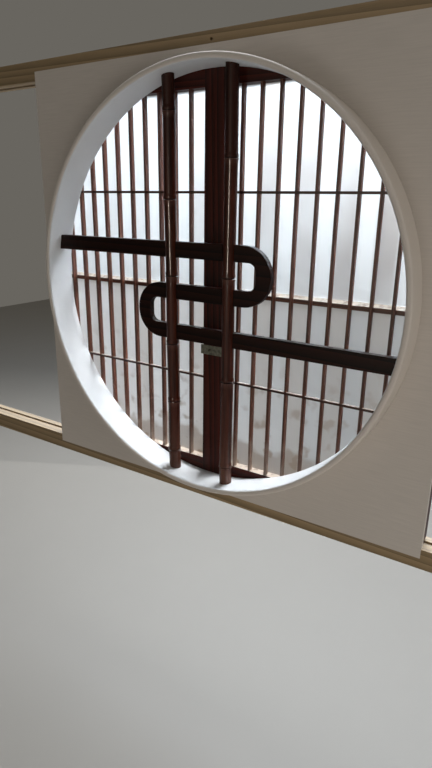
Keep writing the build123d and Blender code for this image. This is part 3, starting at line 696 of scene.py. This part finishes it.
def bamboo_tree(name, shares):
    """One stalk, ringed at its nodes, turned a little at each, its ends cut to the opening."""
    tree, node, entry = new_tree(name, {"Half Length": 0.417, "Radius": 0.013, "Taper": 0.0004,
        "Top X": 0.0, "Foot X": 0.0, "Middle Y": -0.02, "Opening Radius": 0.4248, "Swell": 1.0,
        "Bend": 0.0008, "Lap Y": -0.019, "Lap Z": -0.0023, "Lap Pitch": 0.088, "Lap Width": 0.0336,
        "Material": None})
    half = entry["Half Length"]
    below = node(TIMES, {0: half, 1: -1.0})
    foot = node(COMBINE, {"Z": below})
    top = node(COMBINE, {"Z": half})
    line = node("GeometryNodeCurvePrimitiveLine", {"Start": foot, "End": top})
    steps = node("GeometryNodeResampleCurve", {"Curve": line, "Count": 640})
    profile = node("GeometryNodeCurvePrimitiveCircle", {"Resolution": 40, "Radius": 1.0})
    tube = node("GeometryNodeCurveToMesh", {"Curve": steps, "Profile Curve": profile,
        "Fill Caps": True})
    place = node(SEPARATE, {"Vector": node("GeometryNodeInputPosition")}).outputs
    share = node(MATH, {0: place["Z"], 1: half}, operation="DIVIDE")

    # The height above the nearest node
    offset = nearest = None
    for node_share in shares:
        node_z = node(TIMES, {0: half, 1: node_share})
        here = node(MINUS, {0: place["Z"], 1: node_z})
        away = node(SIZE_OF, {0: here})
        if offset is not None:
            closer = node("FunctionNodeCompare", {"A": away, "B": nearest}, operation="LESS_THAN")
            here = node("GeometryNodeSwitch", {"Switch": closer, "False": offset, "True": here},
                input_type="FLOAT")
            away = node(SIZE_OF, {0: here})
        offset, nearest = here, away

    # The ridge and the groove of each node
    low, high = NODE_FORM[0][0], NODE_FORM[-1][0]
    tallest = max(extra for rise, extra in NODE_FORM)
    along = node(RANGE, {"Value": offset, "From Min": low * MM, "From Max": high * MM})
    form = node("ShaderNodeFloatCurve", {"Value": along})
    curve_points(form, [((rise - low) / (high - low), extra / tallest)
        for rise, extra in NODE_FORM], "AUTO_CLAMPED")
    extra = node(TIMES, {0: form, 1: tallest * MM})
    ridge = node(TIMES, {0: extra, 1: entry["Swell"]})
    thinner = node(TIMES, {0: entry["Taper"], 1: -1.0})
    stem = node(TIMES_PLUS, {0: share, 1: thinner, 2: entry["Radius"]})
    radius = node(PLUS, {0: stem, 1: ridge})

    # The stalk runs from its foot to its top, and turns aside to the left and right in turn
    from_foot = node(TIMES_PLUS, {0: share, 1: 0.5, 2: 0.5})
    turned = node("ShaderNodeFloatCurve", {"Value": from_foot})
    curve_points(turned, [((station + 1) / 2, 1 - index % 2)
        for index, station in enumerate((-1.0, *shares, 1.0))], "VECTOR")
    side = node(TIMES_PLUS, {0: turned, 1: 2.0, 2: -1.0})
    bend = node(TIMES, {0: side, 1: entry["Bend"]})
    run = node(MINUS, {0: entry["Top X"], 1: entry["Foot X"]})
    straight = node(TIMES_PLUS, {0: from_foot, 1: run, 2: entry["Foot X"]})
    middle = node(PLUS, {0: straight, 1: bend})
    x = node(TIMES_PLUS, {0: place["X"], 1: radius, 2: middle})
    y = node(TIMES_PLUS, {0: place["Y"], 1: radius, 2: entry["Middle Y"]})

    # Near its ends the stalk is drawn out to the round of the opening
    square = node(MATH, {0: entry["Opening Radius"], 1: 2.0}, operation="POWER")
    x_square = node(MATH, {0: x, 1: 2.0}, operation="POWER")
    rest = node(MINUS, {0: square, 1: x_square})
    end = node(MATH, {0: rest}, operation="SQRT")
    missing = node(MINUS, {0: end, 1: half})
    fit = node(RANGE, {"Value": node(SIZE_OF, {0: share}), "From Min": 0.96},
        interpolation_type="SMOOTHSTEP")
    pull = node(TIMES, {0: missing, 1: fit})
    way = node(MATH, {0: share}, operation="SIGN")
    z = node(TIMES_PLUS, {0: way, 1: pull, 2: place["Z"]})
    moved = node(COMBINE, {"X": x, "Y": y, "Z": z})
    placed = node("GeometryNodeSetPosition", {"Geometry": tube, "Position": moved})

    # Three notches in its back, one for each arm of the board
    reach = node(TIMES, {0: entry["Radius"], 1: 4.0})
    size = node(COMBINE, {"X": reach, "Y": reach, "Z": entry["Lap Width"]})
    block = node("GeometryNodeMeshCube", {"Size": size})
    lowest = node(COMBINE, {"X": node(TIMES_PLUS, {0: run, 1: 0.5, 2: entry["Foot X"]}),
        "Y": node(TIMES_PLUS, {0: reach, 1: 0.5, 2: entry["Lap Y"]}),
        "Z": node(MINUS, {0: entry["Lap Z"], 1: entry["Lap Pitch"]})})
    step = node(COMBINE, {"Z": entry["Lap Pitch"]})
    laps = node("GeometryNodeMeshLine", {"Count": 3, "Start Location": lowest, "Offset": step})
    blocks = node("GeometryNodeInstanceOnPoints", {"Points": laps, "Instance": block})
    notches = node("GeometryNodeRealizeInstances", {"Geometry": blocks})
    cut = node(CUT_AWAY, {"Mesh 1": placed, "Mesh 2": notches})
    marked = node("GeometryNodeStoreNamedAttribute", {"Geometry": cut, "Name": "node_offset",
        "Value": offset})
    finish_tree(node, marked, entry["Material"])
    return tree


# Operators, one for the stage and one for each piece or group of like pieces

def all_but(name, left_out):
    """A collection for a lamp's links that leaves these objects out and nothing else."""
    links = bpy.data.collections.new(name)
    for thing in left_out:
        links.objects.link(thing)
    for link in links.collection_objects:
        link.light_linking.link_state = "EXCLUDE"
    return links


class WINDOW_OT_stage(bpy.types.Operator):
    """Set the camera, the lights and the floor"""
    bl_idname = "window.stage"
    bl_label = "Camera, light and floor"

    def execute(self, context):
        scene = context.scene
        settings = scene.window_stage
        lens = bpy.data.cameras.new("camera")
        lens.sensor_width = SENSOR_MM
        lens.lens = LENS_MM
        camera = bpy.data.objects.new("camera", lens)
        scene.collection.objects.link(camera)
        turned = Matrix()
        for degrees, axis in ((CAMERA_TURN, "Z"), (90 - CAMERA_DIP, "X"), (CAMERA_ROLL, "Z")):
            turned @= Matrix.Rotation(math.radians(degrees), 4, axis)
        camera.matrix_world = Matrix.Translation(CAMERA_PLACE) @ turned
        scene.camera = camera

        world = bpy.data.worlds.new("room")
        world.use_nodes = True
        wire(world.node_tree, world.node_tree.nodes["Background"], {"Color": settings.room,
            "Strength": settings.room_strength})
        world.cycles_visibility.glossy = False
        scene.world = world

        holders = {}
        for name, (place, towards, size, tint, unseen) in LAMPS.items():
            lamp = bpy.data.lights.new(name, "AREA")
            lamp.shape = "RECTANGLE"
            lamp.size, lamp.size_y = size
            lamp.energy = getattr(settings, name)
            lamp.color = tint
            holder = bpy.data.objects.new(name, lamp)
            holder.location = place
            way = Vector(towards) - Vector(place)
            holder.rotation_euler = way.to_track_quat("-Z", "Y").to_euler()
            for kind in ("camera", *unseen):
                setattr(holder, "visible_" + kind, False)
            scene.collection.objects.link(holder)
            holders[name] = holder

        mesh = bpy.data.meshes.new("floor")
        corners = [(x * FLOOR_REACH, y * FLOOR_REACH, FLOOR_Z)
            for x, y in ((-1, -1), (1, -1), (1, 1), (-1, 1))]
        mesh.from_pydata(corners, [], [(0, 1, 2, 3)])
        mesh.materials.append(pale_floor(settings))
        floor = bpy.data.objects.new("floor", mesh)
        scene.collection.objects.link(floor)

        # The panes don't stop the sky's light that falls through them on the lining, and it
        # leaves out the floor and the head track, which it would reach past the wall's place
        panes = [NODES[name] for name in NODES if name.endswith("_pane")]
        linking = holders["through_light"].light_linking
        linking.blocker_collection = all_but("window_light_blockers", panes)
        linking.receiver_collection = all_but("window_light_receivers",
            [floor, NODES["head_track"]])
        scene.view_settings.view_transform = "Standard"
        return {"FINISHED"}


class WINDOW_OT_lining(bpy.types.Operator):
    """Dress the round plastered lining and the board behind it"""
    bl_idname = "window.lining"
    bl_label = "Lining and backing board"

    def execute(self, context):
        scene = context.scene
        dress("lining_ring", lime_plaster(scene.window_plaster))
        dress("backing_board", distempered_board(scene.window_timber))
        return {"FINISHED"}


class WINDOW_OT_tracks(bpy.types.Operator):
    """Dress the tracks, end posts and centre stop in planed softwood"""
    bl_idname = "window.tracks"
    bl_label = "Tracks and posts"

    def execute(self, context):
        settings = context.scene.window_timber
        dark = settings.softwood * 0.55
        spacing = settings.ring_spacing / MM
        level = wood("planed_spruce_level", settings.softwood, dark, "X", 0.9, spacing, 0.62)
        upright = wood("planed_spruce_upright", settings.softwood, dark, "Z", 0.9, spacing, 0.62)
        for name in ("head_track", "sill_track", "centre_stop"):
            dress(name, level)
        for name in ("left_jamb", "right_jamb"):
            dress(name, upright)
        return {"FINISHED"}


class WINDOW_OT_sashes(bpy.types.Operator):
    """Dress the sashes' stiles, rails and beads in stained cedar"""
    bl_idname = "window.sashes"
    bl_label = "Sash frames"

    def execute(self, context):
        settings = context.scene.window_sash
        stain, dark = settings.stain, settings.stain_dark
        upright, level = (
            wood("stained_cedar_" + name, stain, dark, along, 0.9, 3.6, 0.45, 0.08, 0.15)
            for name, along in (("upright", "Z"), ("level", "X")))
        faded = wood("faded_cedar_rail", settings.slat, settings.slat_dark, "X", 0.9, 3.6, 0.5)
        ledge_dust_and_highlight(level, settings, 0.7)
        ledge_dust_and_highlight(faded, settings)
        for side in SIDES:
            for part in SASH_FRAME:
                dress(f"{side}_{part}", upright if part.endswith("stile") else level)
            dress(f"{side}_middle_rail", faded)
        return {"FINISHED"}


class WINDOW_OT_lattice(bpy.types.Operator):
    """Make the slats in place of the plain ones, and dress the tie bars let into them"""
    bl_idname = "window.lattice"
    bl_label = "Lattice"

    def execute(self, context):
        settings = context.scene.window_sash
        upright = faded_slat_wood(settings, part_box("left_slat_1")[0].z)
        level = wood("stained_cedar_strip", settings.slat_dark, settings.stain_dark, "X", 0.7, 2.4,
            0.5)
        ledge_dust_and_highlight(level, settings, 0.3)
        tree = slat_tree()
        for seed, side in enumerate(SIDES, 3):
            names = [name for name in NODES if name.startswith(side + "_slat_")]
            low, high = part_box(f"{side}_slat_1")
            next_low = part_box(f"{side}_slat_2")[0]
            upper_low, upper_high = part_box(f"{side}_upper_tie_bar")
            lower_low, lower_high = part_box(f"{side}_lower_tie_bar")
            row = bake(f"{side}_slats", tree, {"Count": len(names), "First X": (low.x + high.x) / 2,
                "Pitch": next_low.x - low.x, "Width": high.x - low.x, "Depth": high.y - low.y,
                "Front Y": low.y, "Foot Z": low.z, "Top Z": high.z,
                "Eased Edge": settings.slat_edge, "Bow": settings.slat_bow,
                "Notch Depth": upper_high.y - low.y, "Notch Height": upper_high.z - upper_low.z,
                "Upper Notch Z": (upper_low.z + upper_high.z) / 2,
                "Lower Notch Z": (lower_low.z + lower_high.z) / 2, "Seed": seed,
                "Material": upright})
            stand_in(row, side + "_sash", "stained_slats", *names)
            for place in ("upper", "lower"):
                dress(f"{side}_{place}_tie_bar", level)
        return {"FINISHED"}


class WINDOW_OT_panes(bpy.types.Operator):
    """Dress the four frosted panes"""
    bl_idname = "window.panes"
    bl_label = "Frosted panes"

    def execute(self, context):
        low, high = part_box("right_slat_1")
        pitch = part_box("right_slat_2")[0].x - low.x
        gap = (low.x + high.x - pitch) / 2
        foot_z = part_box("left_lower_pane")[0].z
        glass = frosted_glass(context.scene.window_glass, foot_z, gap, pitch)
        for name in NODES:
            if name.endswith("_pane"):
                dress(name, glass)
        return {"FINISHED"}


class WINDOW_OT_poles(bpy.types.Operator):
    """Make the two bamboo poles in place of the plain solids"""
    bl_idname = "window.poles"
    bl_label = "Bamboo poles"

    def execute(self, context):
        settings = context.scene.window_bamboo
        material = smoked_bamboo(settings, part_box("left_bamboo_pole")[0].z)
        board_low, board_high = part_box("scroll_board")
        for name, (top_x, foot_x, shares) in POLES.items():
            middle_x = (top_x + foot_x) / 2
            pole = bake(name.replace("pole", "stalk"), bamboo_tree(name, shares),
                {"Half Length": math.sqrt(POLE_REACH ** 2 - middle_x ** 2), "Top X": top_x,
                "Foot X": foot_x, "Middle Y": POLE_MIDDLE_Y, "Opening Radius": POLE_REACH,
                "Swell": settings.swell, "Bend": settings.bend, "Lap Y": board_low.y + LAP_DEPTH,
                "Lap Z": (board_low.z + board_high.z) / 2, "Lap Pitch": BOARD_PITCH,
                "Lap Width": settings.lap_width, "Material": material})
            stand_in(pole, "frame", "bamboo", name)
        return {"FINISHED"}


class WINDOW_OT_turned_board(bpy.types.Operator):
    """Dress the board that turns back on itself in dark lacquer"""
    bl_idname = "window.turned_board"
    bl_label = "Turned board"

    def execute(self, context):
        settings = context.scene.window_board
        dress("scroll_board", wood("lacquered_board", settings.worn, settings.tint, "X", 1.0, 5.0,
            0.5, 0.03, 0.1))
        return {"FINISHED"}


class WINDOW_OT_hardware(bpy.types.Operator):
    """Dress the sash lock and make the screws with their cross recesses"""
    bl_idname = "window.hardware"
    bl_label = "Lock and screws"

    def execute(self, context):
        settings = context.scene.window_metal
        brass = tarnished_brass(settings)
        for name in ("lock_case", "lock_keeper", "lock_hook"):
            dress(name, brass)
        steel = zinc_steel(settings)
        tree = screw_tree()
        for name, body in SCREWS.items():
            spots, ways, sizes, heads = zip(*screw_places(name))
            points = bpy.data.meshes.new(name + "_points")
            points.from_pydata(spots, [], [])
            marks = points.attributes.new("direction", "FLOAT_VECTOR", "POINT")
            for mark, way in zip(marks.data, ways):
                mark.vector = way
            recess = heads[0] * settings.recess_share
            lock = name.startswith("lock")
            made = bake(name + "_driven", tree, {"Head Radius": heads[0],
                "Shank Radius": heads[0] / 2, "Length": sizes[0], "Recess Width": recess,
                "Recess Depth": recess, "Seed": len(spots), "Material": brass if lock else steel},
                points)
            stand_in(made, body, "lock_metal" if lock else "steel_screws", name)
        return {"FINISHED"}


class WINDOW_PT_panel(bpy.types.Panel):
    """Lists the pieces of the window and their settings"""
    bl_idname = "WINDOW_PT_panel"
    bl_label = "Round Lattice Window"
    bl_space_type = "VIEW_3D"
    bl_region_type = "UI"
    bl_category = "Window"

    def draw(self, context):
        for operator in OPERATORS:
            self.layout.operator(operator.bl_idname)
        for name, group in SETTINGS.items():
            box = self.layout.box()
            for key in group.__annotations__:
                box.prop(getattr(context.scene, name), key)


SETTINGS = {
    "window_plaster": PlasterSettings,
    "window_timber": TimberSettings,
    "window_sash": SashSettings,
    "window_bamboo": BambooSettings,
    "window_board": BoardSettings,
    "window_glass": GlassSettings,
    "window_metal": MetalSettings,
    "window_stage": StageSettings,
}
OPERATORS = (WINDOW_OT_stage, WINDOW_OT_lining, WINDOW_OT_tracks, WINDOW_OT_sashes,
             WINDOW_OT_lattice, WINDOW_OT_panes, WINDOW_OT_poles, WINDOW_OT_turned_board,
             WINDOW_OT_hardware)
CLASSES = (*SETTINGS.values(), *OPERATORS, WINDOW_PT_panel)


def register():
    for group in CLASSES:
        bpy.utils.register_class(group)
    for name, group in SETTINGS.items():
        setattr(bpy.types.Scene, name, PointerProperty(type=group))


def unregister():
    for name in SETTINGS:
        delattr(bpy.types.Scene, name)
    for group in reversed(CLASSES):
        bpy.utils.unregister_class(group)


def main():
    register()
    for operator in OPERATORS:
        family, name = operator.bl_idname.split(".")
        getattr(getattr(bpy.ops, family), name)()


if __name__ == "__main__":
    main()
